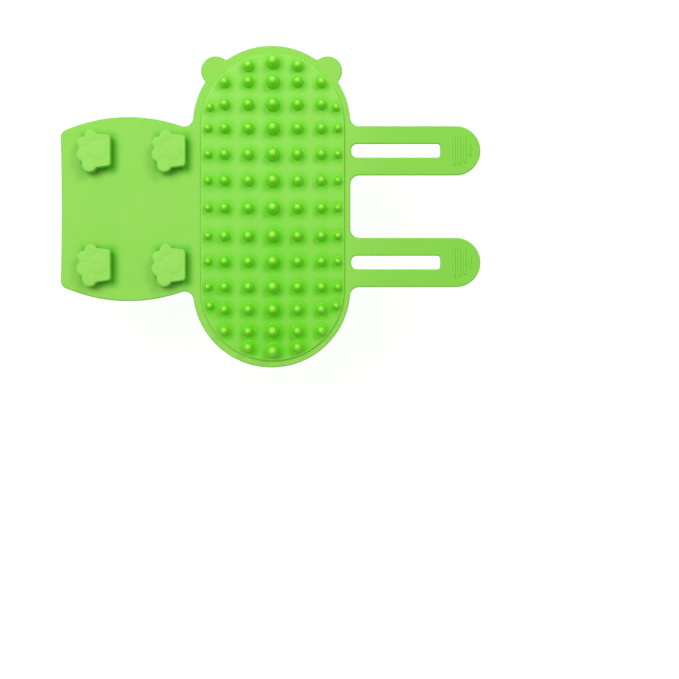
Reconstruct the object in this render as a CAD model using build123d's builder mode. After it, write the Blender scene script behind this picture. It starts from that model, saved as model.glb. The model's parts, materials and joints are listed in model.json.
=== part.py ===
"""A moulded silicone grooming glove, laid flat with its brush side up.

A stadium-shaped brush pad lies in the middle. A wrap flap with four paw-shaped buttons runs off
its left side (-X), and two slotted straps run off its right side (+X). The back face, which lies
against the hand, is on z = 0. The glove folds along straight lines that run the way Y does, and
each stretch between two folds is its own set of solids.
"""

import os
from math import cos, hypot, radians, sqrt

from build123d import *

# Sheet, folds and clearances
sheet_thickness = 2.0
fold_gap = 0.3  # open space between two stretches of sheet at a fold line
slot_clearance = 0.15  # between a button's stem and each side of a strap's slot

# Pad: the sheet's middle, with the raised panel that carries the nubs
pad_width = 90.0
pad_length = 184.0
panel_height = 1.5
panel_edge_radius = 0.7
flange_left = 4.6
flange_right = 3.3
flange_top = 4.4
flange_bottom = 3.9

# Ears: two thumb lobes on the pad's upper end
ear_radius = 8.3
ear_spacing = 64.0
ear_drop = 14.3  # from the pad's upper end down to the ears' centres
ear_root_radius = 1.7

# Nubs: one list entry for each column, from the panel's middle outwards
nub_shift = 0.3  # the nubs' centre line lies this far right of the panel's
inner_column_offset = 14.0
middle_column_offset = 27.5
outer_column_inset = 4.15  # from the panel's side to the outer column's axes
nub_diameters = [8.6, 7.2, 6.7, 5.2]
nub_heights = [8.0, 6.2, 6.0, 4.6]
upper_rows = [0.18, 0.362, 0.542, 0.707, 0.864, 1.0]  # shares of the way out to the last row
lower_rows = [0.203, 0.38, 0.556, 0.712, 0.863, 1.0]
middle_row = -0.009
nub_edge_gap = 1.3  # from the panel's rim to the end nubs, which follow its curve
end_nub_turn = 15.0  # degrees; no end nub lies nearer to the panel's straight side than this
nub_tip_share = 0.2  # tip radius over base diameter
nub_flare_radius = 0.6
nub_shoulder_share = 0.3  # height of the cone's start over the nub's height
nub_waist_share = 0.78  # radius there over the base radius

# Flap: the wide sheet that wraps round the back of the hand
root_band = 4.0  # from the pad's side out to the first fold, on both sides
flap_reach = 75.7
flap_shift = -1.4  # the flap's centre line lies this far below the pad's
flap_width = 88.0  # at its free edge
flap_hollow = 0.6  # how far the middle of its free edge is drawn in
flap_bulge = 8.6  # how far its long edges bow out past the free edge's corners
flap_bulge_place = 38.7  # from the free edge to the widest place
flap_corner_radius = 4.5
flap_inner_length = 18.0
neck_radius = 5.3

# Straps: two tongues with a long slot, a plain tab and finger ribs
strap_reach = 74.5
strap_width = 28.0
strap_spacing = 64.0
strap_inner_length = 27.4
slot_width = 8.0
slot_start = 0.5  # from the pad's side to the slot's inner end
slot_length = 51.2
slot_inner_radius = 3.4
slot_outer_radius = 2.0
tab_overlap = 3.0  # how much of the slot's outer end is cut in the tab
rib_count = 4
rib_width = 1.5
rib_height = 0.5
rib_margin = 5.4  # from the tab's edge to the circle that the ribs fill
rib_start = -0.9  # the first rib, from the centre of the strap's round tip
rib_end_inset = 0.65  # from that circle to the last rib

# Buttons: a round stem under a paw-shaped head
inner_button_inset = 9.0  # from the flap's root fold to the inner stems' axes
outer_button_inset = 20.3  # from the flap's free edge to the outer stems' axes
button_spacing = 64.8
stem_height = 3.0
stem_foot_radius = 0.6
head_thickness = 4.0
head_edge_radius = 0.9
head_notch_radius = 0.8
relief_height = 0.4
palm_radius = 8.5  # the paw's middle, which shows between the toes
heel_root_width = 20.2  # across the stem's axis
heel_width = 17.4  # at its flat edge
heel_end = 9.7  # from the stem's axis to the heel's flat edge
heel_corner_radius = 1.8
toes = [(-1.4, 8.2, 3.8), (-5.8, 4.3, 3.7), (-5.2, -2.2, 4.6), (-2.4, -8.0, 4.4)]  # x, y, radius
main_pad_centre = (2.6, 0.3)
main_pad_radius = 5.6
toe_relief_inset = 2.1

# Places worked out from the sizes above
pad_side = pad_width / 2
pad_end = pad_length / 2
panel_width = pad_width - flange_left - flange_right
panel_length = pad_length - flange_top - flange_bottom
panel_x = (flange_left - flange_right) / 2
panel_y = (flange_bottom - flange_top) / 2
nub_x = panel_x + nub_shift
panel_top = sheet_thickness + panel_height
flap_edge = -pad_side - flap_reach
strap_end = pad_side + strap_reach
strap_y = strap_spacing / 2
tip_x = strap_end - strap_width / 2
slot_from = pad_side + slot_start
slot_to = slot_from + slot_length
slot_side = slot_width / 2
head_bottom = sheet_thickness + stem_height
head_top = head_bottom + head_thickness
glove_margin = 10.0  # cutting bands run this far past the glove

column_offsets = [0.0, inner_column_offset, middle_column_offset, panel_width / 2 - outer_column_inset]

# Fold lines, as X. The palm's two lie midway between the inner and the middle nub columns.
inner_column_edge = column_offsets[1] + nub_diameters[1] / 2
middle_column_edge = column_offsets[2] - nub_diameters[2] / 2
palm_fold_offset = (inner_column_edge + middle_column_edge) / 2
palm_fold_left = nub_x - palm_fold_offset
palm_fold_right = nub_x + palm_fold_offset
flap_fold = -pad_side - root_band
flap_curl = flap_fold - flap_inner_length
strap_fold = pad_side + root_band
strap_curl = strap_fold + strap_inner_length
button_columns = [flap_fold - inner_button_inset, flap_edge + outer_button_inset]


def save(part, name):
    """Label a finished piece and write it as its own STEP file."""
    part.label = name
    export_step(part, f"parts/{name}.step")


def stadium(width, length, x, y):
    """Draw an upright stadium, centred at x, y, in the open sketch."""
    with Locations((x, y)):
        SlotOverall(length, width, rotation=90)


def between(x_from, x_to):
    """Keep only what the open sketch or part has from x_from to x_to, less half a fold gap at each end."""
    inset = fold_gap / 2
    with Locations(((x_from + x_to) / 2, 0)):
        Rectangle(x_to - x_from - 2 * inset, pad_length + 2 * glove_margin, mode=Mode.INTERSECT)


def close_corners(radius):
    """Round every inward corner of the open sketch, by growing it and shrinking it back."""
    offset(amount=radius, kind=Kind.ARC)
    offset(amount=-radius, kind=Kind.ARC)


# Outlines
def flap_outline():
    """Face of the flap, from its free edge to inside the pad."""
    corner_y = flap_width / 2
    peak_x = flap_edge + flap_bulge_place
    peak_y = corner_y + flap_bulge
    bow = (flap_bulge_place**2 + flap_bulge**2) / (2 * flap_bulge)
    inner_x = -pad_side + root_band
    inner_y = peak_y - bow + sqrt(bow**2 - (inner_x - peak_x) ** 2)
    with BuildSketch() as flap:
        with BuildLine():
            ThreePointArc((flap_edge, -corner_y), (flap_edge + flap_hollow, 0), (flap_edge, corner_y))
            ThreePointArc((flap_edge, corner_y), (peak_x, peak_y), (inner_x, inner_y))
            Line((inner_x, inner_y), (inner_x, -inner_y))
            ThreePointArc((inner_x, -inner_y), (peak_x, -peak_y), (flap_edge, -corner_y))
        make_face()
        fillet(flap.vertices().group_by(Axis.X)[0], radius=flap_corner_radius)
    return Pos(0, flap_shift) * flap.sketch


def slot_outline():
    """Face of one strap's slot, centred on y = 0."""
    with BuildSketch() as slot:
        with Locations(((slot_from + slot_to) / 2, 0)):
            Rectangle(slot_length, slot_width)
        fillet(slot.vertices().group_by(Axis.X)[0], radius=slot_inner_radius)
        fillet(slot.vertices().group_by(Axis.X)[-1], radius=slot_outer_radius)
    return slot.sketch


def glove_outline():
    """Face of the whole glove but its ears, with rounded necks and open slots."""
    with BuildSketch() as outline:
        stadium(pad_width, pad_length, 0, 0)
        add(flap_face)
        with Locations((strap_end / 2, strap_y), (strap_end / 2, -strap_y)):
            SlotOverall(strap_end, strap_width)
        close_corners(neck_radius)
        with Locations((0, strap_y), (0, -strap_y)):
            add(slot_face, mode=Mode.SUBTRACT)
    return outline.sketch


def ears_outline():
    """Faces of the two ears, with the small root fillets that run them into the pad's end."""
    with BuildSketch() as ears:
        stadium(pad_width, pad_length, 0, 0)
        with Locations((0, pad_end - ear_drop)):
            with GridLocations(ear_spacing, 1, 2, 1):
                Circle(ear_radius)
        close_corners(ear_root_radius)
        SlotOverall(pad_length, pad_width, rotation=90, mode=Mode.SUBTRACT)
    return ears.sketch


# Sheet
def sheet_piece(name, face, x_from, x_to):
    """One stretch of the moulded sheet, from one fold line to the next."""
    with BuildPart() as piece:
        with BuildSketch():
            add(face)
            between(x_from, x_to)
        extrude(amount=sheet_thickness)
    save(piece.part, name)


def panel_piece(name, x_from, x_to):
    """One stretch of the raised panel, its outer rim rounded over."""
    with BuildPart() as piece:
        with BuildSketch(Plane.XY.offset(sheet_thickness)):
            stadium(panel_width, panel_length, panel_x, panel_y)
        extrude(amount=panel_height)
        fillet(piece.faces().sort_by(Axis.Z)[-1].edges(), radius=panel_edge_radius)
        with BuildSketch(Plane.XY.offset(sheet_thickness)):
            stadium(pad_width, pad_length, 0, 0)
            between(x_from, x_to)
        extrude(amount=panel_height, mode=Mode.INTERSECT)
    save(piece.part, name)


# Nubs
def row_places():
    """The rows' heights on the panel. They close up towards its ends."""
    last_row = panel_length / 2 - nub_edge_gap - nub_diameters[0] / 2
    rows = [-row for row in reversed(lower_rows)] + [middle_row] + upper_rows
    return [last_row * row for row in rows]


def nub_place(offset_x, y, radius):
    """The nub's place on the panel, drawn in to follow its round end, or None where it has no room."""
    end_radius = panel_width / 2
    straight = panel_length / 2 - end_radius
    past = abs(y) - straight
    limit = end_radius - nub_edge_gap - radius
    if past > 0 and hypot(offset_x, past) > end_radius:
        return None
    if past > 0 and hypot(offset_x, past) > limit:
        farthest = limit * cos(radians(end_nub_turn))
        offset_x = max(-farthest, min(farthest, offset_x))
        past = sqrt(limit**2 - offset_x**2)
        y = (straight + past) * (1 if y > 0 else -1)
    return nub_x + offset_x, panel_y + y


def nub_column(name, column, side):
    """One column of nubs: tapered fingers with a flared foot and a round tip."""
    radius = nub_diameters[column] / 2
    height = nub_heights[column]
    tip = nub_diameters[column] * nub_tip_share
    shoulder = height * nub_shoulder_share
    waist = radius * nub_waist_share
    places = [nub_place(side * column_offsets[column], y, radius) for y in row_places()]
    with BuildPart() as nubs:
        for x, y in [place for place in places if place]:
            with BuildSketch(Plane((x, y, panel_top), x_dir=(1, 0, 0), z_dir=(0, -1, 0))):
                with BuildLine():
                    Line((0, 0), (radius, 0))
                    ThreePointArc(
                        (radius, 0),
                        (radius - 0.7 * nub_flare_radius, 0.3 * nub_flare_radius),
                        (radius - nub_flare_radius, nub_flare_radius),
                    )
                    Line((radius - nub_flare_radius, nub_flare_radius), (waist, shoulder))
                    Line((waist, shoulder), (tip, height - tip))
                    RadiusArc((tip, height - tip), (0, height), -tip)
                    Line((0, height), (0, 0))
                make_face()
            revolve(axis=Axis((x, y, panel_top), (0, 0, 1)))
    save(nubs.part, name)


# Straps
def rails_piece(name, y, x_from, x_to):
    """The two rails beside one strap's slot, between two fold lines or up to the tab."""
    with BuildPart() as rails:
        with BuildSketch():
            add(glove_face)
            with Locations(((x_from + x_to) / 2, y)):
                Rectangle(x_to - x_from, strap_width, mode=Mode.INTERSECT)
        extrude(amount=sheet_thickness)
    save(rails.part, name)


def ribs_piece(name, y):
    """Raised finger ribs across the tab. They end on a circle about the strap's round tip."""
    field = strap_width / 2 - rib_margin
    pitch = (field - rib_end_inset - rib_start) / (rib_count - 1)
    steps = [rib_start + rib * pitch for rib in range(rib_count)]
    with BuildPart() as ribs:
        with BuildSketch(Plane.XY.offset(sheet_thickness)):
            for step in steps:
                with Locations((tip_x + step, y)):
                    SlotOverall(2 * sqrt(field**2 - step**2), rib_width, rotation=90)
        extrude(amount=rib_height)
        fillet(ribs.faces().group_by(Axis.Z)[-1].edges(), radius=rib_height / 2)
    save(ribs.part, name)


# Buttons
def stem_piece(name, x, y):
    """A button's stem, as thick as the strap's slot lets through, with a small foot radius."""
    radius = slot_side - slot_clearance
    with BuildPart() as stem:
        with BuildSketch(Plane.XY.offset(sheet_thickness)):
            with Locations((x, y)):
                Circle(radius)
        extrude(amount=stem_height)
        fillet(stem.edges().sort_by(Axis.Z)[-1], radius=stem_foot_radius)
    save(stem.part, name)


def paw_outline():
    """Face of a paw about the stem's axis: a flat heel on +X and four toes on -X."""
    with BuildSketch() as paw:
        root_y, end_y = heel_root_width / 2, heel_width / 2
        with BuildLine():
            Polyline((0, -root_y), (heel_end, -end_y), (heel_end, end_y), (0, root_y), close=True)
        make_face()
        fillet(paw.vertices().group_by(Axis.X)[-1], radius=heel_corner_radius)
        Circle(palm_radius)
        for x, y, radius in toes:
            with Locations((x, y)):
                Circle(radius)
        close_corners(head_notch_radius)
    return paw.sketch


def head_piece(name, x, y):
    """A button's head: the paw's outline, rounded over on top."""
    with BuildPart() as head:
        with BuildSketch(Plane.XY.offset(head_bottom)):
            with Locations((x, y)):
                add(paw_face)
        extrude(amount=head_thickness)
        fillet(head.faces().sort_by(Axis.Z)[-1].edges(), radius=head_edge_radius)
    save(head.part, name)


def relief_piece(name, x, y):
    """The raised cushions on a button's head: the main pad and the four toes."""
    cushions = [(*main_pad_centre, main_pad_radius)]
    cushions += [(toe_x, toe_y, radius - toe_relief_inset) for toe_x, toe_y, radius in toes]
    with BuildPart() as relief:
        with BuildSketch(Plane.XY.offset(head_top)):
            for cushion_x, cushion_y, radius in cushions:
                with Locations((x + cushion_x, y + cushion_y)):
                    Circle(radius)
        extrude(amount=relief_height)
        fillet(relief.faces().group_by(Axis.Z)[-1].edges(), radius=relief_height / 2)
    save(relief.part, name)


os.makedirs("parts", exist_ok=True)

flap_face = flap_outline()
slot_face = slot_outline()
glove_face = glove_outline()
ears_face = ears_outline()
paw_face = paw_outline()

palm_bands = {
    "left": (flap_fold, palm_fold_left),
    "centre": (palm_fold_left, palm_fold_right),
    "right": (palm_fold_right, strap_fold),
}
for place, (x_from, x_to) in palm_bands.items():
    sheet_piece(f"palm_sheet_{place}", glove_face, x_from, x_to)
    panel_piece(f"brush_panel_{place}", x_from, x_to)
sheet_piece("ear_left", ears_face, -pad_side, 0)
sheet_piece("ear_right", ears_face, 0, pad_side)
sheet_piece("flap_sheet_inner", glove_face, flap_curl, flap_fold)
sheet_piece("flap_sheet_outer", glove_face, flap_edge - glove_margin, flap_curl)

nub_column("nubs_centre", 0, 1)
for column, column_name in enumerate(["inner", "middle", "outer"], start=1):
    nub_column(f"nubs_{column_name}_left", column, -1)
    nub_column(f"nubs_{column_name}_right", column, 1)

for row_name, row in {"upper": 1, "lower": -1}.items():
    side = row * strap_y
    half_gap = fold_gap / 2
    tab_from = slot_to - tab_overlap
    rails_piece(f"strap_rails_{row_name}_inner", side, strap_fold + half_gap, strap_curl - half_gap)
    rails_piece(f"strap_rails_{row_name}_outer", side, strap_curl + half_gap, tab_from)
    rails_piece(f"strap_tab_{row_name}", side, tab_from, strap_end + glove_margin)
    ribs_piece(f"grip_ribs_{row_name}", side)
    for column_name, x in zip(["inner", "outer"], button_columns):
        y = flap_shift + row * button_spacing / 2
        stem_piece(f"button_stem_{row_name}_{column_name}", x, y)
        head_piece(f"paw_head_{row_name}_{column_name}", x, y)
        relief_piece(f"paw_cushions_{row_name}_{column_name}", x, y)
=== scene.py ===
"""A moulded silicone grooming glove, laid open with its brush side up.

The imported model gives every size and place. The file follows the glove as it leaves its mould:
sheet, brush panel, nubs, paw buttons, finger ribs, and then the table and the lights round it.
"""

import json
import math

import bmesh
import bpy
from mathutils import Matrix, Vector
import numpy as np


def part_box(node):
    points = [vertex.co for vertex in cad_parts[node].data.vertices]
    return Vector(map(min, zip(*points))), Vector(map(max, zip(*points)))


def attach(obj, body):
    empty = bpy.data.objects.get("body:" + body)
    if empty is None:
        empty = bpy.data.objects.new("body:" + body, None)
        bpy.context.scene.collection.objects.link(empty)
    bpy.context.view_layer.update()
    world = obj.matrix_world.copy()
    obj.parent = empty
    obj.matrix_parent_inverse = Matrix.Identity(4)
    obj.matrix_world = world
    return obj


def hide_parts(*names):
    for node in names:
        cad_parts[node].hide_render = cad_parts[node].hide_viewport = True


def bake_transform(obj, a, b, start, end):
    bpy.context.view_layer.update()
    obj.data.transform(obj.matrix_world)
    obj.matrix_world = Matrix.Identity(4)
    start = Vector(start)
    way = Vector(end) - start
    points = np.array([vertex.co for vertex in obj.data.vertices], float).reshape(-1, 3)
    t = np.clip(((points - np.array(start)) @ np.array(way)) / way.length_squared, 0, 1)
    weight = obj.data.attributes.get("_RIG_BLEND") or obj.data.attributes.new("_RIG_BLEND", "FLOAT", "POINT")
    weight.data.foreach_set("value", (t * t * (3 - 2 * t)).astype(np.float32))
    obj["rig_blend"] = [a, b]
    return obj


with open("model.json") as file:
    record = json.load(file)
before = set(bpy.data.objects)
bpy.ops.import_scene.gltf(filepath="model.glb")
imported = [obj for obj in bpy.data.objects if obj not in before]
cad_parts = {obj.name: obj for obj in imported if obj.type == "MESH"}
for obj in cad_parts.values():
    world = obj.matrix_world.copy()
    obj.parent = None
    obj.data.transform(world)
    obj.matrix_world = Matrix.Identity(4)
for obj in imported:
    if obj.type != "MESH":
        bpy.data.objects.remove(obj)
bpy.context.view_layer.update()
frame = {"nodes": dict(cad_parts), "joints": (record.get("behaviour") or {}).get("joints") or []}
MM = 0.001

# ---------------------------------------------------------------------------------------------
# Silicone. The whole glove is one shot of lime green silicone rubber, cast in a polished mould.
# Its colour drifts a little over the sheet, and the mould leaves a faint grain in the surface.
# ---------------------------------------------------------------------------------------------
LIME = (0.282, 0.708, 0.078, 1)
# DEEP_LIME, NUB_DEEP_LIME and PANEL_DEEP_LIME are painted shade, mixed in where a mesh paints its depth of
# colour; PALE_LIME, the nubs' colour, is painted light on their tips.
DEEP_LIME = (0.085, 0.575, 0.002, 1)
PALE_LIME = (0.370, 0.900, 0.090, 1)
NUB_DEEP_LIME = (0.165, 0.740, 0.004, 1)
BUTTON_LIME = (0.305, 0.735, 0.096, 1)
PANEL_LIME = (0.325, 0.762, 0.102, 1)
PANEL_DEEP_LIME = (0.130, 0.650, 0.003, 1)


def socket(group, name, kind, direction, value=None):
    """Add one named socket to a shader group."""
    made = group.interface.new_socket(name=name, in_out=direction, socket_type=kind)
    if value is not None:
        made.default_value = value
    return made


def noise(nodes, links, point, scale, detail):
    """A soft noise that is fixed in the silicone."""
    made = nodes.new("ShaderNodeTexNoise")
    made.inputs["Scale"].default_value = scale
    made.inputs["Detail"].default_value = detail
    links.new(point, made.inputs["Vector"])
    return made.outputs["Fac"]


def spread(nodes, links, value, low, high):
    """Stretch a noise round its middle to run from low to high."""
    made = nodes.new("ShaderNodeMapRange")
    made.inputs["From Min"].default_value = 0.3
    made.inputs["From Max"].default_value = 0.7
    made.inputs["To Min"].default_value = low
    made.inputs["To Max"].default_value = high
    links.new(value, made.inputs["Value"])
    return made.outputs["Result"]


def cast_surface_group():
    """Cloudy tone, uneven polish and fine mould grain, as every cast silicone face has them, and the shade
    and light that each mesh paints into its colour through Depth.
    """
    group = bpy.data.node_groups.new("cast_surface", "ShaderNodeTree")
    socket(group, "Colour", "NodeSocketColor", "INPUT", LIME)
    socket(group, "Deep Colour", "NodeSocketColor", "INPUT", DEEP_LIME)
    socket(group, "Depth", "NodeSocketFloat", "INPUT", 0.0)
    socket(group, "Cloud", "NodeSocketFloat", "INPUT", 0.10)
    socket(group, "Polish", "NodeSocketFloat", "INPUT", 0.42)
    socket(group, "Colour", "NodeSocketColor", "OUTPUT")
    socket(group, "Roughness", "NodeSocketFloat", "OUTPUT")
    socket(group, "Height", "NodeSocketFloat", "OUTPUT")
    nodes, links = group.nodes, group.links
    given = nodes.new("NodeGroupInput")
    result = nodes.new("NodeGroupOutput")
    point = nodes.new("ShaderNodeTexCoord").outputs["Object"]

    clouds = spread(nodes, links, noise(nodes, links, point, 26, 3), -0.5, 0.5)
    # Mix the cloudy tone with the depth of colour, which carries each mesh's painted shade and light.
    clouds_and_painted_shade = nodes.new("ShaderNodeMath")
    clouds_and_painted_shade.operation = "MULTIPLY_ADD"
    clouds_and_painted_shade.use_clamp = True
    links.new(clouds, clouds_and_painted_shade.inputs[0])
    links.new(given.outputs["Cloud"], clouds_and_painted_shade.inputs[1])
    links.new(given.outputs["Depth"], clouds_and_painted_shade.inputs[2])
    tint = nodes.new("ShaderNodeMix")
    tint.data_type = "RGBA"
    links.new(clouds_and_painted_shade.outputs[0], tint.inputs["Factor"])
    links.new(given.outputs["Colour"], tint.inputs["A"])
    links.new(given.outputs["Deep Colour"], tint.inputs["B"])
    links.new(tint.outputs["Result"], result.inputs["Colour"])

    wipes = spread(nodes, links, noise(nodes, links, point, 90, 4), -0.05, 0.05)
    polish = nodes.new("ShaderNodeMath")
    links.new(wipes, polish.inputs[0])
    links.new(given.outputs["Polish"], polish.inputs[1])
    links.new(polish.outputs[0], result.inputs["Roughness"])

    grain = noise(nodes, links, point, 2600, 2)
    orange_peel = noise(nodes, links, point, 420, 2)
    height = nodes.new("ShaderNodeMath")
    height.operation = "MULTIPLY_ADD"
    height.inputs[1].default_value = 2.5
    links.new(orange_peel, height.inputs[0])
    links.new(grain, height.inputs[2])
    links.new(height.outputs[0], result.inputs["Height"])
    return group


cast_surface = cast_surface_group()


def silicone(name, colour, deep, cloud, polish, depth_from=None):
    """One silicone finish. depth_from names a mesh attribute that deepens the colour, in which each mesh
    paints its shade and light.
    """
    material = bpy.data.materials.new(name)
    material.use_nodes = True
    nodes, links = material.node_tree.nodes, material.node_tree.links
    shader = nodes["Principled BSDF"]
    surface = nodes.new("ShaderNodeGroup")
    surface.node_tree = cast_surface
    surface.inputs["Colour"].default_value = colour
    surface.inputs["Deep Colour"].default_value = deep
    surface.inputs["Cloud"].default_value = cloud
    surface.inputs["Polish"].default_value = polish
    if depth_from:
        depth = nodes.new("ShaderNodeAttribute")
        depth.attribute_name = depth_from
        links.new(depth.outputs["Fac"], surface.inputs["Depth"])
    bump = nodes.new("ShaderNodeBump")
    bump.inputs["Strength"].default_value = 0.12
    bump.inputs["Distance"].default_value = 0.06 * MM
    links.new(surface.outputs["Height"], bump.inputs["Height"])
    links.new(bump.outputs["Normal"], shader.inputs["Normal"])
    links.new(surface.outputs["Colour"], shader.inputs["Base Color"])
    links.new(surface.outputs["Roughness"], shader.inputs["Roughness"])
    shader.inputs["IOR"].default_value = 1.43
    shader.inputs["Specular IOR Level"].default_value = 0.30
    return material


# ---------------------------------------------------------------------------------------------
# Sheet. One flat 2 mm casting: the stadium-shaped pad with its two ears, the wrap flap on its
# left, and two slotted straps on its right. It is cut into lengths only where a blend needs it.
# ---------------------------------------------------------------------------------------------
ARC_STEP = 4.0  # degrees
CHORD = 4 * MM
JOINTS = {joint["name"]: joint for joint in frame["joints"]}
SHEET_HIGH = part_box("palm_sheet_centre")[1]
SHEET_TOP = SHEET_HIGH.z
PAD_RADIUS = 45 * MM
PAD_ARC_Y = SHEET_HIGH.y - PAD_RADIUS
NECK_RADIUS = 5.3 * MM
EAR_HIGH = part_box("ear_right")[1]
EAR_RADIUS = 8.3 * MM
EAR_CENTRE = (EAR_HIGH.x - EAR_RADIUS, EAR_HIGH.y - EAR_RADIUS)
EAR_ROOT_RADIUS = 1.7 * MM
FLAP_LOW, FLAP_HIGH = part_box("flap_sheet_outer")
FLAP_MIDDLE_Y = (FLAP_LOW.y + FLAP_HIGH.y) / 2
FLAP_EDGE_X = -120.7 * MM
FLAP_EDGE_SIDE = 44 * MM
FLAP_HOLLOW = 0.6 * MM
FLAP_CORNER_RADIUS = 4.5 * MM
FLAP_BULGE = (FLAP_HIGH.y - FLAP_LOW.y) / 2 - FLAP_EDGE_SIDE
FLAP_BULGE_PLACE = 38.7 * MM
TAB_LOW, TAB_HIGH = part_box("strap_tab_upper")
STRAP_RADIUS = (TAB_HIGH.y - TAB_LOW.y) / 2
STRAP_Y = (TAB_HIGH.y + TAB_LOW.y) / 2
STRAP_TIP_X = TAB_HIGH.x - STRAP_RADIUS
SLOT_FROM = PAD_RADIUS + 0.5 * MM
SLOT_TO = TAB_LOW.x + 3 * MM
SLOT_SIDE = 4 * MM
SLOT_INNER_RADIUS = 3.4 * MM
SLOT_OUTER_RADIUS = 2 * MM


def meet(first, first_radius, second, second_radius, side):
    """Where two circles cross: the crossing on the left (side 1) or right (-1) of first to second."""
    across = Vector(second) - Vector(first)
    gap = across.length
    along = (gap**2 + first_radius**2 - second_radius**2) / (2 * gap)
    off = math.sqrt(first_radius**2 - along**2)
    way = across / gap
    return tuple(Vector(first) + way * along + Vector((-way.y, way.x)) * off * side)


def bow_radius(half_chord, rise):
    """Radius of the arc that rises so far over the middle of its chord."""
    return (half_chord**2 + rise**2) / (2 * rise)


def belt(pulleys):
    """A closed outline run like a belt round pulleys, given as (centre, radius), anticlockwise.

    A negative radius is an inward corner. The result is a list of (point, outward normal).
    """
    leaving = []
    for (centre, radius), (far, far_radius) in zip(pulleys, pulleys[1:] + pulleys[:1]):
        across = Vector(far) - Vector(centre)
        lean = max(-1.0, min(1.0, (far_radius - radius) / across.length))
        leaving.append(math.atan2(across.y, across.x) + math.acos(lean))
    outline = []
    for place, (centre, radius) in enumerate(pulleys):
        start, end = leaving[place - 1], leaving[place]
        turn = (end - start) % (2 * math.pi)
        if radius < 0:
            turn -= 2 * math.pi
        if abs(abs(turn) - 2 * math.pi) < 1e-6:
            turn = 0.0
        steps = max(1, math.ceil(abs(math.degrees(turn)) / ARC_STEP))
        steps = max(steps, math.ceil(abs(turn * radius) / CHORD))
        for step in range(steps + 1):
            angle = start + turn * step / steps
            normal = Vector((-math.cos(angle), -math.sin(angle)))
            outline.append((Vector(centre) + normal * radius, normal))
    return outline


def flap_pulleys(side):
    """The flap's neck, bowed edge and corner on its upper (1) or lower (-1) side, going outwards."""
    bow = bow_radius(FLAP_BULGE_PLACE, FLAP_BULGE)
    peak_y = FLAP_MIDDLE_Y + side * (FLAP_EDGE_SIDE + FLAP_BULGE)
    bow_centre = (FLAP_EDGE_X + FLAP_BULGE_PLACE, peak_y - side * bow)
    pad_centre = (0, side * PAD_ARC_Y)
    neck = meet(bow_centre, bow + NECK_RADIUS, pad_centre, PAD_RADIUS + NECK_RADIUS, side)
    edge_centre, edge_bow = edge_pulley()
    corner_reach = abs(edge_bow) + FLAP_CORNER_RADIUS
    corner = meet(bow_centre, bow - FLAP_CORNER_RADIUS, edge_centre, corner_reach, -side)
    return [(neck, -NECK_RADIUS), (bow_centre, bow), (corner, FLAP_CORNER_RADIUS)]


def edge_pulley():
    """The great arc of the flap's free edge, which is hollowed a little."""
    bow = bow_radius(FLAP_EDGE_SIDE, FLAP_HOLLOW)
    return (FLAP_EDGE_X + FLAP_HOLLOW - bow, FLAP_MIDDLE_Y), -bow


def strap_pulleys():
    """The upper strap, from the crotch between the straps to its outer neck."""
    grown = PAD_RADIUS + NECK_RADIUS
    neck_y = STRAP_Y + STRAP_RADIUS + NECK_RADIUS
    neck = (math.sqrt(grown**2 - (neck_y - PAD_ARC_Y) ** 2), neck_y)
    crotch = (grown, STRAP_Y - STRAP_RADIUS - NECK_RADIUS)
    tip = (STRAP_TIP_X, STRAP_Y)
    return [(crotch, -NECK_RADIUS), (tip, STRAP_RADIUS), (neck, -NECK_RADIUS)]


def ear_pulleys():
    """The right ear, from its lower root to its upper one."""
    pad_centre = (0, PAD_ARC_Y)
    reach, ear_reach = PAD_RADIUS + EAR_ROOT_RADIUS, EAR_RADIUS + EAR_ROOT_RADIUS
    lower, upper = [meet(pad_centre, reach, EAR_CENTRE, ear_reach, side) for side in (-1, 1)]
    return [(lower, -EAR_ROOT_RADIUS), (EAR_CENTRE, EAR_RADIUS), (upper, -EAR_ROOT_RADIUS)]


def mirrored(pulleys, x=1, y=1):
    """The same pulleys on the other side of the glove, met in the opposite order."""
    return [((place[0] * x, place[1] * y), radius) for place, radius in reversed(pulleys)]


def slot_pulleys(y):
    """The four corners of one strap's slot."""
    inner_x, outer_x = SLOT_FROM + SLOT_INNER_RADIUS, SLOT_TO - SLOT_OUTER_RADIUS
    inner_y, outer_y = SLOT_SIDE - SLOT_INNER_RADIUS, SLOT_SIDE - SLOT_OUTER_RADIUS
    return [
        ((outer_x, y - outer_y), SLOT_OUTER_RADIUS),
        ((outer_x, y + outer_y), SLOT_OUTER_RADIUS),
        ((inner_x, y + inner_y), SLOT_INNER_RADIUS),
        ((inner_x, y - inner_y), SLOT_INNER_RADIUS),
    ]


def casting(outlines, profile):
    """A flat casting: outlines are (outline, sign), -1 for a hole, and the profile runs round each.

    The profile is a list of (inset, z, depth of colour) from the flat back, up the rim, to the top.
    """
    mesh = bmesh.new()
    depth_layer = mesh.verts.layers.float.new("depth")
    flats = ([], [])
    for outline, sign in outlines:
        rings = []
        for inset, z, depth in profile:
            ring = [mesh.verts.new((*(point - normal * inset * sign), z)) for point, normal in outline]
            for vert in ring:
                vert[depth_layer] = depth
            rings.append(ring)
        for lower, upper in zip(rings, rings[1:]):
            for here in range(len(lower)):
                following = (here + 1) % len(lower)
                mesh.faces.new((lower[here], lower[following], upper[following], upper[here]))
        for flat, ring in zip(flats, (rings[0], rings[-1])):
            for here, following in zip(ring, ring[1:] + ring[:1]):
                flat.append(mesh.edges.get((here, following)))
    for flat in flats:
        bmesh.ops.triangle_fill(mesh, use_beauty=True, use_dissolve=False, edges=flat)
    bmesh.ops.remove_doubles(mesh, verts=mesh.verts, dist=0.002 * MM)
    bmesh.ops.recalc_face_normals(mesh, faces=mesh.faces)
    return mesh


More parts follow.
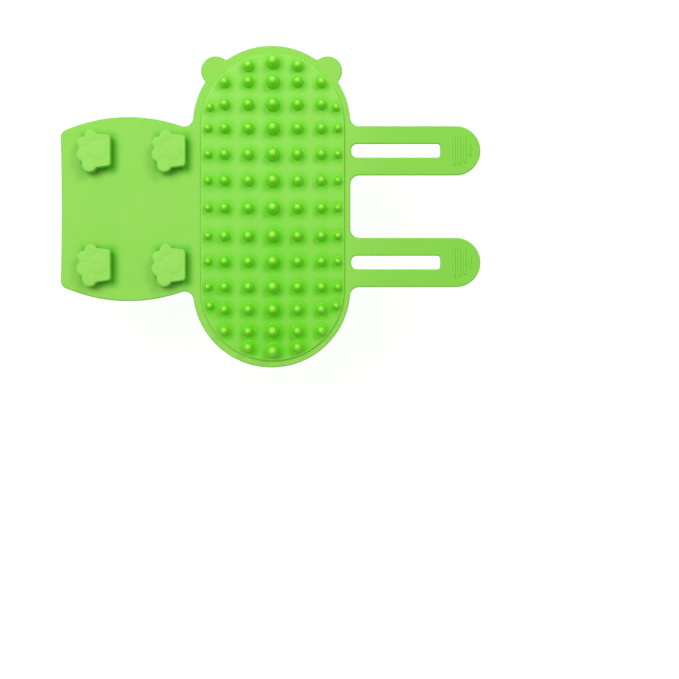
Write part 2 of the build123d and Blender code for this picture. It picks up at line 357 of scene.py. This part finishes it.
def cut_lines(mesh, places, normal=(1, 0, 0)):
    """Score the casting across at each place along an axis, so that it can bend or shade there."""
    for place in places:
        everything = mesh.verts[:] + mesh.edges[:] + mesh.faces[:]
        point = Vector(normal) * place
        bmesh.ops.bisect_plane(mesh, geom=everything, dist=1e-7, plane_co=point, plane_no=normal)


def keep_side(mesh, point, normal):
    """Cut the casting at a plane, throw away what the normal points to, and close the cut."""
    everything = mesh.verts[:] + mesh.edges[:] + mesh.faces[:]
    cut = bmesh.ops.bisect_plane(
        mesh, geom=everything, dist=1e-7, plane_co=point, plane_no=normal, clear_outer=True
    )
    rim = [item for item in cut["geom_cut"] if isinstance(item, bmesh.types.BMEdge)]
    rim = [edge for edge in rim if edge.is_boundary]
    bmesh.ops.triangle_fill(mesh, use_beauty=True, use_dissolve=False, edges=rim)
    for edge in rim:
        edge.smooth = False


def finish_piece(name, mesh, material, sharp=40):
    """Turn a built casting into an object with smooth, clean shading."""
    bmesh.ops.recalc_face_normals(mesh, faces=mesh.faces)
    for face in mesh.faces:
        face.smooth = True
    for edge in mesh.edges:
        if edge.is_manifold and edge.calc_face_angle(0) > math.radians(sharp):
            edge.smooth = False
    data = bpy.data.meshes.new(name)
    mesh.to_mesh(data)
    mesh.free()
    piece = bpy.data.objects.new(name, data)
    piece.data.materials.append(material)
    bpy.context.scene.collection.objects.link(piece)
    return piece


def joint_x(name):
    return JOINTS[name]["pos_m"][0]


def bend_zone(name, reach):
    """The stretch of sheet, from x to x, that bends softly about one fold line."""
    return joint_x(name) - reach, joint_x(name) + reach


def spaced(low, high, step):
    count = max(1, round((high - low) / step))
    return [low + (high - low) * part / count for part in range(count + 1)]


RIM_PROFILE = [  # the rim carries a faint flash line at half its height; the depth of colour is painted shade, deepest on its side wall
    (0.90 * MM, 0.0, 0.2),
    (0.50 * MM, 0.0, 0.4),
    (0.16 * MM, 0.12 * MM, 0.8),
    (0.02 * MM, 0.42 * MM, 0.95),
    (0.0, 0.86 * MM, 0.95),
    (-0.10 * MM, 0.95 * MM, 0.7),
    (-0.10 * MM, 1.05 * MM, 0.7),
    (0.0, 1.14 * MM, 0.95),
    (0.0, SHEET_TOP - 0.62 * MM, 0.95),
    (0.06 * MM, SHEET_TOP - 0.34 * MM, 0.75),
    (0.22 * MM, SHEET_TOP - 0.12 * MM, 0.35),
    (0.46 * MM, SHEET_TOP - 0.02 * MM, 0.08),
    (0.70 * MM, SHEET_TOP, 0.0),
    (1.10 * MM, SHEET_TOP, 0.0),
]
PANEL_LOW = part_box("brush_panel_left")[0]
PANEL_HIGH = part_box("brush_panel_right")[1]
PANEL_MIDDLE = (PANEL_LOW + PANEL_HIGH) / 2
PALM_BEND = 3.2 * MM
ROOT_BEND = 3.7 * MM
FLAP_CURL_BEND = 5.5 * MM
STRAP_CURL_BEND = 6 * MM
ROOT_SEAM = PAD_RADIUS + 0.2 * MM
FLAP_SEAM = (joint_x("flap_fold") + joint_x("flap_curl")) / 2
STRAP_SEAM = (joint_x("strap_upper_fold") + joint_x("strap_upper_curl")) / 2
BEND_STEP = 0.6 * MM
SHADE_STEP = 1.1 * MM
# The painted shadow beside each paw button: how far it reaches, how far in from the head's edges it starts,
# and how deep it is.
SHADE_REACH = 5.0 * MM
SHADE_INSET = 3.0 * MM
SHADE_DEPTH = 0.95
STRAP_DEPTH = 0.22
STRAP_DEPTH_RUN = 20 * MM  # from the pad out to where the straps have their full depth of colour

sheet_silicone = silicone("sheet_silicone", LIME, DEEP_LIME, 0.10, 0.50, depth_from="depth")

bends = {
    "palm_curl_left": bend_zone("palm_curl_left", PALM_BEND),
    "palm_curl_right": bend_zone("palm_curl_right", PALM_BEND),
    "flap_fold": bend_zone("flap_fold", ROOT_BEND),
    "flap_curl": bend_zone("flap_curl", FLAP_CURL_BEND),
    "strap_fold": bend_zone("strap_upper_fold", ROOT_BEND),
    "strap_curl": bend_zone("strap_upper_curl", STRAP_CURL_BEND),
}
pad_top = ((0, PAD_ARC_Y), PAD_RADIUS)
pad_bottom = ((0, -PAD_ARC_Y), PAD_RADIUS)
strap, ear = strap_pulleys(), ear_pulleys()
upper_pulleys = strap + [pad_top] + ear + [pad_top] + mirrored(ear, x=-1) + [pad_top]
flap = flap_pulleys(1) + [edge_pulley()] + flap_pulleys(-1)[::-1]
lower_pulleys = [pad_bottom] + mirrored(strap, y=-1)
outer_edge = belt(upper_pulleys + flap + lower_pulleys)
slots = [(belt(slot_pulleys(y)), -1) for y in (STRAP_Y, -STRAP_Y)]
whole_sheet = casting([(outer_edge, 1)] + slots, RIM_PROFILE)
for low_x, high_x in bends.values():
    cut_lines(whole_sheet, spaced(low_x, high_x, BEND_STEP))


def button_shade(x, y, head):
    """How much painted shadow deepens the sheet's colour at x, y, beside and under one paw button, reaching
    furthest to the head's right.
    """
    low, high = head
    out_x = max(low.x + SHADE_INSET - x, 0, x - high.x)
    out_y = max(low.y + SHADE_INSET - y, 0, y - high.y + SHADE_INSET)
    share = max(0.0, 1 - math.hypot(out_x, out_y) / SHADE_REACH)
    return SHADE_DEPTH * share**1.5


heads = [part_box(f"paw_head_{row}_{place}") for row in ("upper", "lower") for place in ("inner", "outer")]
for low, high in heads:
    reach_x = spaced(low.x - SHADE_REACH, high.x + SHADE_REACH, SHADE_STEP)
    reach_y = spaced(low.y - SHADE_REACH, high.y + SHADE_REACH, SHADE_STEP)
    cut_lines(whole_sheet, reach_x)
    if low.x > joint_x("flap_curl") - SHADE_REACH:
        cut_lines(whole_sheet, reach_y, (0, 1, 0))  # the other two heads stand at the same heights
sheet_depth = whole_sheet.verts.layers.float["depth"]
# Paint shade into the top of the sheet: a painted shadow beside each paw button on the flap, and the straps
# a little deeper in colour from the pad outwards.
for vert in whole_sheet.verts:
    if vert.co.z > SHEET_TOP - 0.01 * MM:
        if vert.co.x < -PAD_RADIUS:
            vert[sheet_depth] += max(button_shade(vert.co.x, vert.co.y, head) for head in heads)
        strap_share = min(1.0, max(0.0, (vert.co.x - PAD_RADIUS) / STRAP_DEPTH_RUN))
        vert[sheet_depth] += STRAP_DEPTH * strap_share


def sheet_length(name, ends, bodies, bend, nodes, side_y=0):
    """One length of the sheet between two seams, blended across its fold line."""
    from_x, to_x = ends
    length = whole_sheet.copy()
    if from_x is not None:
        keep_side(length, (from_x, 0, 0), (-1, 0, 0))
    if to_x is not None:
        keep_side(length, (to_x, 0, 0), (1, 0, 0))
    if side_y:
        gone = [v for v in length.verts if v.co.y * side_y < 0]
        bmesh.ops.delete(length, geom=gone, context="VERTS")
    piece = finish_piece(name, length, sheet_silicone)
    low_x, high_x = bends[bend]
    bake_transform(piece, *bodies, start=(low_x, 0, 0), end=(high_x, 0, 0))
    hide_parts(*nodes)


left_nodes = ["palm_sheet_left", "palm_sheet_centre", "ear_left"]
right_nodes = ["palm_sheet_right", "ear_right"]
flap_seam, strap_seam, middle = FLAP_SEAM, STRAP_SEAM, PANEL_MIDDLE.x
sheet_length("flap_end", (None, flap_seam), ("flap_outer", "flap_inner"), "flap_curl", ["flap_sheet_outer"])
sheet_length(
    "flap_root", (flap_seam, -ROOT_SEAM), ("flap_inner", "palm_left"), "flap_fold", ["flap_sheet_inner"]
)
sheet_length("pad_left", (-ROOT_SEAM, middle), ("palm_left", "palm_centre"), "palm_curl_left", left_nodes)
sheet_length("pad_right", (middle, ROOT_SEAM), ("palm_centre", "palm_right"), "palm_curl_right", right_nodes)
for row, side_y in {"upper": 1, "lower": -1}.items():
    root_bodies = ("palm_right", f"strap_{row}_inner")
    end_bodies = (f"strap_{row}_inner", f"strap_{row}_outer")
    root_nodes = [f"strap_rails_{row}_inner"]
    end_nodes = [f"strap_rails_{row}_outer", f"strap_tab_{row}"]
    root_ends, end_ends = (ROOT_SEAM, strap_seam), (strap_seam, None)
    sheet_length(f"strap_root_{row}", root_ends, root_bodies, "strap_fold", root_nodes, side_y)
    sheet_length(f"strap_end_{row}", end_ends, end_bodies, "strap_curl", end_nodes, side_y)

# ---------------------------------------------------------------------------------------------
# Brush panel. A raised stadium cast on the pad, 1.5 mm thick, with a soft rounded rim and a
# small fillet at its foot. It curls with the pad, so it is made in two halves like the pad.
# ---------------------------------------------------------------------------------------------
PANEL_RADIUS = (PANEL_HIGH.x - PANEL_LOW.x) / 2
PANEL_TOP = PANEL_HIGH.z
PANEL_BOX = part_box("brush_panel_centre")
PANEL_ARC_Y = (PANEL_BOX[1].y - PANEL_BOX[0].y) / 2 - PANEL_RADIUS
# The depth of colour is painted shade, deeper on the panel's side wall than on its top.
PANEL_PROFILE = [
    (0.0, SHEET_TOP - 0.30 * MM, 0.6),
    (-0.55 * MM, SHEET_TOP - 0.06 * MM, 0.1),
    (-0.42 * MM, SHEET_TOP + 0.02 * MM, 0.3),
    (-0.18 * MM, SHEET_TOP + 0.12 * MM, 0.5),
    (-0.04 * MM, SHEET_TOP + 0.32 * MM, 0.7),
    (0.0, PANEL_TOP - 0.80 * MM, 0.6),
    (0.08 * MM, PANEL_TOP - 0.46 * MM, 0.35),
    (0.30 * MM, PANEL_TOP - 0.18 * MM, 0.1),
    (0.62 * MM, PANEL_TOP - 0.04 * MM, 0.0),
    (1.00 * MM, PANEL_TOP, 0.05),
    (1.40 * MM, PANEL_TOP, 0.1),
]
PANEL_STEP = 1.6 * MM
# Painted shade round each nub's foot: how far it reaches and how deep it is.
FOOT_REACH = 4.2 * MM
FOOT_DEPTH = 0.55
FOOT_LEAN = Vector((0.5, -0.7)) * MM  # the painted shade round a nub lies a little off its axis, to its lower right
PANEL_DEEPENING = 0.45  # painted shade: the colour gets a little deeper towards the panel's lower end, further from the lamps
panel_silicone = silicone("panel_silicone", PANEL_LIME, PANEL_DEEP_LIME, 0.16, 0.46, depth_from="depth")

panel_arcs = [
    ((PANEL_MIDDLE.x, PANEL_MIDDLE.y + PANEL_ARC_Y), PANEL_RADIUS),
    ((PANEL_MIDDLE.x, PANEL_MIDDLE.y - PANEL_ARC_Y), PANEL_RADIUS),
]
NUB_COLUMNS = {
    "nubs_centre": "palm_centre",
    "nubs_inner_left": "palm_centre",
    "nubs_inner_right": "palm_centre",
    "nubs_middle_left": "palm_left",
    "nubs_outer_left": "palm_left",
    "nubs_middle_right": "palm_right",
    "nubs_outer_right": "palm_right",
}


SOLID_GAP = 0.5 * MM  # more than this between two points means two separate solids


def standing_solids(node, axis, gap):
    """The boxes of a CAD node's separate solids, which stand in a row along one axis."""
    points = sorted((v.co.copy() for v in frame["nodes"][node].data.vertices), key=lambda p: p[axis])
    groups = [[points[0]]]
    for point in points[1:]:
        if point[axis] - groups[-1][-1][axis] > gap:
            groups.append([])
        groups[-1].append(point)
    boxes = []
    for group in groups:
        low = Vector([min(p[side] for p in group) for side in range(3)])
        high = Vector([max(p[side] for p in group) for side in range(3)])
        boxes.append((low, high))
    return boxes


def nub_feet():
    """The axis and foot radius of every nub."""
    for node in NUB_COLUMNS:
        for low, high in standing_solids(node, axis=1, gap=SOLID_GAP):
            yield (low + high).to_2d() / 2, (high.y - low.y) / 2


def foot_depth(point, feet):
    """How much painted shade deepens the colour at a point on the panel, beside the nubs' feet."""
    deepest = 0.0
    for foot, radius in feet:
        away = (point.to_2d() - foot - FOOT_LEAN).length - radius
        if away < FOOT_REACH:
            share = 1 - max(0.0, away) / FOOT_REACH
            deepest = max(deepest, share * share * (3 - 2 * share))
    return deepest * FOOT_DEPTH


whole_panel = casting([(belt(panel_arcs), 1)], PANEL_PROFILE)
cut_lines(whole_panel, spaced(PANEL_LOW.x, PANEL_HIGH.x, PANEL_STEP)[1:-1])
cut_lines(whole_panel, spaced(PANEL_BOX[0].y, PANEL_BOX[1].y, PANEL_STEP)[1:-1], (0, 1, 0))
feet = list(nub_feet())
panel_depth = whole_panel.verts.layers.float["depth"]
# Paint shade into the panel's top: deeper towards its lower end and round each nub's foot.
for vert in whole_panel.verts:
    if vert.co.z > PANEL_TOP - 0.02 * MM:
        down = (PANEL_MIDDLE.y + PANEL_RADIUS + PANEL_ARC_Y - vert.co.y) / (2 * (PANEL_RADIUS + PANEL_ARC_Y))
        vert[panel_depth] += PANEL_DEEPENING * down + foot_depth(vert.co, feet)
for side, away in {"left": 1, "right": -1}.items():
    zone = bends[f"palm_curl_{side}"]
    half = whole_panel.copy()
    cut_lines(half, spaced(*zone, BEND_STEP))
    keep_side(half, PANEL_MIDDLE, (away, 0, 0))
    piece = finish_piece(f"brush_panel_{side}_half", half, panel_silicone)
    start, end = (zone[1], zone[0]) if side == "left" else zone
    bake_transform(piece, "palm_centre", f"palm_{side}", start=(start, 0, 0), end=(end, 0, 0))
    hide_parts(f"brush_panel_{side}", *(["brush_panel_centre"] if side == "left" else []))

# ---------------------------------------------------------------------------------------------
# Nubs. Seven columns of tapered fingers, solid silicone, cast in one with the panel. Each has a crisp foot,
# a flank that narrows upwards, and a round tip, in a smoother finish. The tip is painted paler green as
# painted light, and the flank deeper green as painted shade.
# ---------------------------------------------------------------------------------------------
NUB_SIDES = 40
NUB_FLARE = 0.28 * MM
NUB_TIP_SHARE = 0.50
NUB_BULGE = 0.035
TIP_RINGS = 8
FLANK_RINGS = 7

nub_silicone = silicone("nub_silicone", PALE_LIME, NUB_DEEP_LIME, 0.10, 0.36, depth_from="depth")


def nub_profile(radius, height):
    """Radius, height and depth of colour up a nub, from its foot in the panel to its tip: the depth is
    painted shade, deepest low on the flank and gone at the top of the tip.
    """
    tip = radius * NUB_TIP_SHARE
    root = radius - 0.1 * MM
    lean = 0.3
    for _ in range(8):
        lean = math.atan((root - tip * math.cos(lean)) / (height - tip + tip * math.sin(lean)))
    profile = [(root + NUB_FLARE, -0.12 * MM, 0.3)]
    for step in range(4):
        angle = math.radians(90 * step / 3)
        out = root + NUB_FLARE * (1 - math.sin(angle))
        profile.append((out, NUB_FLARE * (1 - math.cos(angle)), 0.35 + 0.2 * step))
    flank_top = (tip * math.cos(lean), height - tip + tip * math.sin(lean))
    for step in range(1, FLANK_RINGS + 1):
        share = step / FLANK_RINGS
        out = root + (flank_top[0] - root) * share + NUB_BULGE * radius * math.sin(math.pi * share)
        up = NUB_FLARE + (flank_top[1] - NUB_FLARE) * share
        profile.append((out, up, 1.0 - 0.35 * share))
    for step in range(1, TIP_RINGS):
        share = step / TIP_RINGS
        angle = lean + (math.pi / 2 - lean) * share
        depth = 0.65 * max(0.0, 1 - 1.6 * share)
        profile.append((tip * math.cos(angle), height - tip + tip * math.sin(angle), depth))
    return profile


def turned(mesh, foot, profile, depth_layer, crown=None):
    """Turn a profile of (radius, height, depth) round an upright axis, closed at both ends."""
    rings = []
    for out, up, depth in profile:
        ring = []
        for side in range(NUB_SIDES):
            angle = 2 * math.pi * side / NUB_SIDES
            ring.append(mesh.verts.new(foot + Vector((out * math.cos(angle), out * math.sin(angle), up))))
            ring[-1][depth_layer] = depth
        rings.append(ring)
    for lower, upper in zip(rings, rings[1:]):
        for side in range(NUB_SIDES):
            after = (side + 1) % NUB_SIDES
            mesh.faces.new((lower[side], lower[after], upper[after], upper[side]))
    mesh.faces.new(rings[0][::-1])
    if crown is None:
        mesh.faces.new(rings[-1])
        return
    top = mesh.verts.new(foot + Vector((0, 0, crown)))
    for side in range(NUB_SIDES):
        mesh.faces.new((rings[-1][side], rings[-1][(side + 1) % NUB_SIDES], top))


for node, body in NUB_COLUMNS.items():
    column = bmesh.new()
    depth_layer = column.verts.layers.float.new("depth")
    for low, high in standing_solids(node, axis=1, gap=SOLID_GAP):
        foot = Vector(((low.x + high.x) / 2, (low.y + high.y) / 2, low.z))
        height = high.z - low.z
        turned(column, foot, nub_profile((high.y - low.y) / 2, height), depth_layer, crown=height)
    piece = finish_piece(f"{node}_column", column, nub_silicone, sharp=70)
    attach(piece, body)
    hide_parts(node)

# ---------------------------------------------------------------------------------------------
# Paw buttons. Four solid paw-shaped heads on short round stems, cast in one with the flap. A
# strap's slot stretches over a head and closes round its stem. A head is cast in two halves of
# the mould, which leave a step half way up its side, and its pads are raised a little.
# ---------------------------------------------------------------------------------------------
TOES = [  # centre from the stem's axis, and radius, in mm, from the lowest toe to the highest
    ((-2.4, -8.0), 4.4),
    ((-5.2, -2.2), 4.6),
    ((-5.8, 4.3), 3.7),
    ((-1.4, 8.2), 3.8),
]
HEEL_X = 9.7
HEEL_ROOT_SIDE = 10.1
HEEL_SIDE = 8.7
HEEL_RADIUS = 1.8
NOTCH_RADIUS = 0.8
MAIN_PAD = ((2.6, 0.3), 6.0)
HEAD_SPOKE = 0.45
HEAD_RINGS = 26
RELIEF = 0.24
HEAD_RIM = [  # inset in mm, share of the head's thickness, depth of colour (painted shade, deepest on the head's side)
    (0.50, 0.0, 0.6),
    (0.24, 0.02, 0.8),
    (0.06, 0.06, 1.0),
    (0.0, 0.16, 1.0),
    (0.0, 0.47, 0.8),
    (0.03, 0.52, 0.2),
    (0.16, 0.55, 0.0),
    (0.19, 0.60, 0.9),
    (0.19, 0.80, 0.9),
    (0.23, 0.90, 0.5),
    (0.36, 0.97, 0.10),
    (0.54, 0.995, 0.0),
    (0.74, 1.0, 0.0),
]
STEM_FLARE = 0.9 * MM

button_silicone = silicone("button_silicone", BUTTON_LIME, DEEP_LIME, 0.10, 0.46, depth_from="depth")


def paw_pulleys():
    """The pulleys round a paw: its heel's two corners, its four toes and the notches between."""
    slope = math.atan2(HEEL_ROOT_SIDE - HEEL_SIDE, HEEL_X)
    corner_x = HEEL_X - HEEL_RADIUS
    corner_y = HEEL_SIDE + HEEL_RADIUS * (math.sin(slope) - 1) / math.cos(slope)
    corners = [((corner_x, side * corner_y), HEEL_RADIUS) for side in (-1, 1)]

    def heel_notch(toe, side):
        """The notch between an outer toe and the slanting side of the heel."""
        (toe_x, toe_y), radius = toe
        along = Vector((math.cos(slope), -side * math.sin(slope)))
        off = Vector((math.sin(slope), side * math.cos(slope)))
        from_toe = Vector((0, side * HEEL_ROOT_SIDE)) + off * NOTCH_RADIUS - Vector((toe_x, toe_y))
        step = from_toe.dot(along)
        gap = from_toe - along * step
        run = math.sqrt((radius + NOTCH_RADIUS) ** 2 - gap.length**2)
        return tuple(Vector((toe_x, toe_y)) + gap + along * run), -NOTCH_RADIUS

    outline = corners + [heel_notch(TOES[-1], 1), TOES[-1]]
    for toe, after in zip(TOES[:0:-1], TOES[-2::-1]):
        reach, after_reach = toe[1] + NOTCH_RADIUS, after[1] + NOTCH_RADIUS
        outline.append((meet(toe[0], reach, after[0], after_reach, -1), -NOTCH_RADIUS))
        outline.append(after)
    outline.append(heel_notch(TOES[0], -1))
    return [((x * MM, y * MM), radius * MM) for (x, y), radius in outline]


def dome(x, y, centre, radius, edge):
    """Height of one raised cushion at x, y, from 0 beside it to 1 at its middle."""
    away = math.hypot(x - centre[0], y - centre[1])
    rise = max(0.0, min(1.0, (radius - away) / edge))
    return rise * rise * (3 - 2 * rise) * (0.8 + 0.2 * max(0.0, 1 - (away / radius) ** 2))


def head_relief(x, y):
    """How far the paw's top stands up at x, y, in millimetres."""
    toes = max(dome(x, y, centre, radius + 0.2, 2.2) for centre, radius in TOES)
    return RELIEF * max(0.75 * toes, dome(x, y, *MAIN_PAD, 1.8))


def even(outline, step):
    """The outline's points spaced evenly, with their normals."""
    spots = []
    for (point, normal), (after, after_normal) in zip(outline, outline[1:] + outline[:1]):
        count = round((after - point).length / step)
        for part in range(max(1, count)):
            share = part / max(1, count)
            spots.append((point.lerp(after, share), normal.lerp(after_normal, share).normalized()))
    return spots


def paw_head(tail, axis, body):
    """One button's head, with its stepped, rounded rim and raised cushions."""
    low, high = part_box(f"paw_head_{tail}")
    outline = even(belt(paw_pulleys()), HEAD_SPOKE * MM)
    mesh = bmesh.new()
    depth_layer = mesh.verts.layers.float.new("depth")
    rings = []
    for inset, up, depth in HEAD_RIM:
        ring = []
        for point, normal in outline:
            spot = point - normal * inset * MM
            ring.append(mesh.verts.new(axis + Vector((*spot, low.z + up * (high.z - low.z)))))
            ring[-1][depth_layer] = depth
        rings.append(ring)
    middle = Vector((1.0, 0.0)) * MM
    for part in range(1, HEAD_RINGS):
        share = 1 - part / HEAD_RINGS
        ring = []
        for point, normal in outline:
            spot = middle + (point - normal * HEAD_RIM[-1][0] * MM - middle) * share
            z = high.z + head_relief(spot.x / MM, spot.y / MM) * MM
            ring.append(mesh.verts.new(axis + Vector((*spot, z))))
        rings.append(ring)
    for lower, upper in zip(rings, rings[1:]):
        for here in range(len(outline)):
            after = (here + 1) % len(outline)
            mesh.faces.new((lower[here], lower[after], upper[after], upper[here]))
    mesh.faces.new(rings[0][::-1])
    mesh.faces.new(rings[-1])
    head = finish_piece(f"paw_button_{tail}", mesh, button_silicone, sharp=60)
    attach(head, body)
    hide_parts(f"paw_head_{tail}", f"paw_cushions_{tail}")


def paw_stem(tail, body):
    """One button's stem, flared where it grows from the flap and where it meets the head."""
    low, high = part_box(f"button_stem_{tail}")
    axis = Vector(((low.x + high.x) / 2, (low.y + high.y) / 2, 0))
    radius = (high.x - low.x) / 2
    # The stem is painted deep green all over, as painted shade under the head.
    profile = [(radius + STEM_FLARE, low.z - 0.15 * MM, 0.5)]
    for step in range(5):
        angle = math.radians(90 * step / 4)
        up = low.z + STEM_FLARE * (1 - math.cos(angle))
        profile.append((radius + STEM_FLARE * (1 - math.sin(angle)), up, 0.6 + 0.1 * step))
    for step in range(5):
        angle = math.radians(90 * step / 4)
        up = high.z - 0.5 * STEM_FLARE * (1 - math.sin(angle))
        profile.append((radius + 0.5 * STEM_FLARE * (1 - math.cos(angle)), up, 1.0))
    profile.append((radius + 0.5 * STEM_FLARE, high.z + 0.2 * MM, 1.0))
    mesh = bmesh.new()
    turned(mesh, axis, profile, mesh.verts.layers.float.new("depth"))
    stem = finish_piece(f"button_neck_{tail}", mesh, button_silicone, sharp=60)
    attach(stem, body)
    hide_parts(f"button_stem_{tail}")
    return axis


for row in ("upper", "lower"):
    for place in ("inner", "outer"):
        stem_axis = paw_stem(f"{row}_{place}", f"flap_{place}")
        paw_head(f"{row}_{place}", stem_axis, f"flap_{place}")

# ---------------------------------------------------------------------------------------------
# Finger ribs. Four low ridges across each strap's tab, cast on it, for a fingertip to pull on.
# ---------------------------------------------------------------------------------------------
# The depth of colour is painted shade on the ribs' flanks.
RIB_PROFILE = [
    (0.05 * MM, SHEET_TOP - 0.15 * MM, 0.4),
    (-0.25 * MM, SHEET_TOP - 0.02 * MM, 0.3),
    (-0.02 * MM, SHEET_TOP + 0.08 * MM, 0.5),
    (0.12 * MM, SHEET_TOP + 0.22 * MM, 0.5),
    (0.30 * MM, SHEET_TOP + 0.38 * MM, 0.2),
    (0.52 * MM, SHEET_TOP + 0.48 * MM, 0.0),
    (0.66 * MM, SHEET_TOP + 0.50 * MM, 0.0),
]

for row in ("upper", "lower"):
    node = f"grip_ribs_{row}"
    ridges = bmesh.new()
    for low, high in standing_solids(node, axis=0, gap=SOLID_GAP):
        radius = (high.x - low.x) / 2
        x = (low.x + high.x) / 2
        ends = [((x, high.y - radius), radius), ((x, low.y + radius), radius)]
        ridge = casting([(belt(ends), 1)], RIB_PROFILE)
        data = bpy.data.meshes.new("ridge")
        ridge.to_mesh(data)
        ridge.free()
        ridges.from_mesh(data)
        bpy.data.meshes.remove(data)
    piece = finish_piece(f"finger_ribs_{row}", ridges, sheet_silicone, sharp=60)
    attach(piece, f"strap_{row}_outer")
    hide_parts(node)

# ---------------------------------------------------------------------------------------------
# Table and light. The glove lies over a white light table, low enough for it to wrap round a
# hand above it. One large soft lamp stands at its upper left and a smaller one at its upper
# right, in a white room.
# ---------------------------------------------------------------------------------------------
TABLE_DROP = 62 * MM
TABLE_SIDE = 16.0
VIEW_CENTRE = (38.9 * MM, -76.1 * MM)
VIEW_WIDTH = 388.4 * MM
LENS = 58.0
SENSOR = 36.0

light_table = bpy.data.materials.new("light_table")
light_table.use_nodes = True
table_nodes, table_links = light_table.node_tree.nodes, light_table.node_tree.links
table_shader = table_nodes["Principled BSDF"]
table_shader.inputs["Roughness"].default_value = 0.8
table_shader.inputs["Specular IOR Level"].default_value = 0.1
table_shader.inputs["Emission Strength"].default_value = 0.93
diffuser = table_nodes.new("ShaderNodeTexNoise")
diffuser.inputs["Scale"].default_value = 6
opal = table_nodes.new("ShaderNodeMapRange")
opal.inputs["To Min"].default_value = 0.98
opal.inputs["To Max"].default_value = 1.0
table_shader.inputs["Base Color"].default_value = (0.12, 0.12, 0.12, 1)
table_links.new(diffuser.outputs["Fac"], opal.inputs["Value"])
table_links.new(opal.outputs["Result"], table_shader.inputs["Emission Color"])

bpy.ops.mesh.primitive_plane_add(size=TABLE_SIDE, location=(0, 0, -TABLE_DROP))
table = bpy.context.object
table.name = "table_top"
table.data.materials.append(light_table)

world = bpy.data.worlds.new("white_room")
bpy.context.scene.world = world
world.use_nodes = True
world.node_tree.nodes["Background"].inputs["Color"].default_value = (1.0, 1.0, 1.0, 1)
world.node_tree.nodes["Background"].inputs["Strength"].default_value = 0.42


def softbox(name, place, target, width, power):
    """A square lamp that faces the target."""
    lamp = bpy.data.lights.new(name, "AREA")
    lamp.size = width
    lamp.energy = power
    holder = bpy.data.objects.new(name, lamp)
    holder.location = place
    aim = Vector(target) - Vector(place)
    holder.rotation_euler = aim.to_track_quat("-Z", "Y").to_euler()
    bpy.context.scene.collection.objects.link(holder)


softbox("main_softbox", (-0.56, 0.50, 1.3), (0, 0, 0), 0.9, 12.2)
softbox("side_softbox", (0.62, 0.62, 0.9), (0, 0, 0), 0.35, 3.6)

camera_data = bpy.data.cameras.new("camera")
camera_data.lens = LENS
camera_data.sensor_width = SENSOR
camera = bpy.data.objects.new("camera", camera_data)
camera.location = (*VIEW_CENTRE, SHEET_TOP + VIEW_WIDTH * LENS / SENSOR)
camera.rotation_euler = (0, 0, 0)
bpy.context.scene.collection.objects.link(camera)
bpy.context.scene.camera = camera
bpy.context.scene.view_settings.view_transform = "Standard"
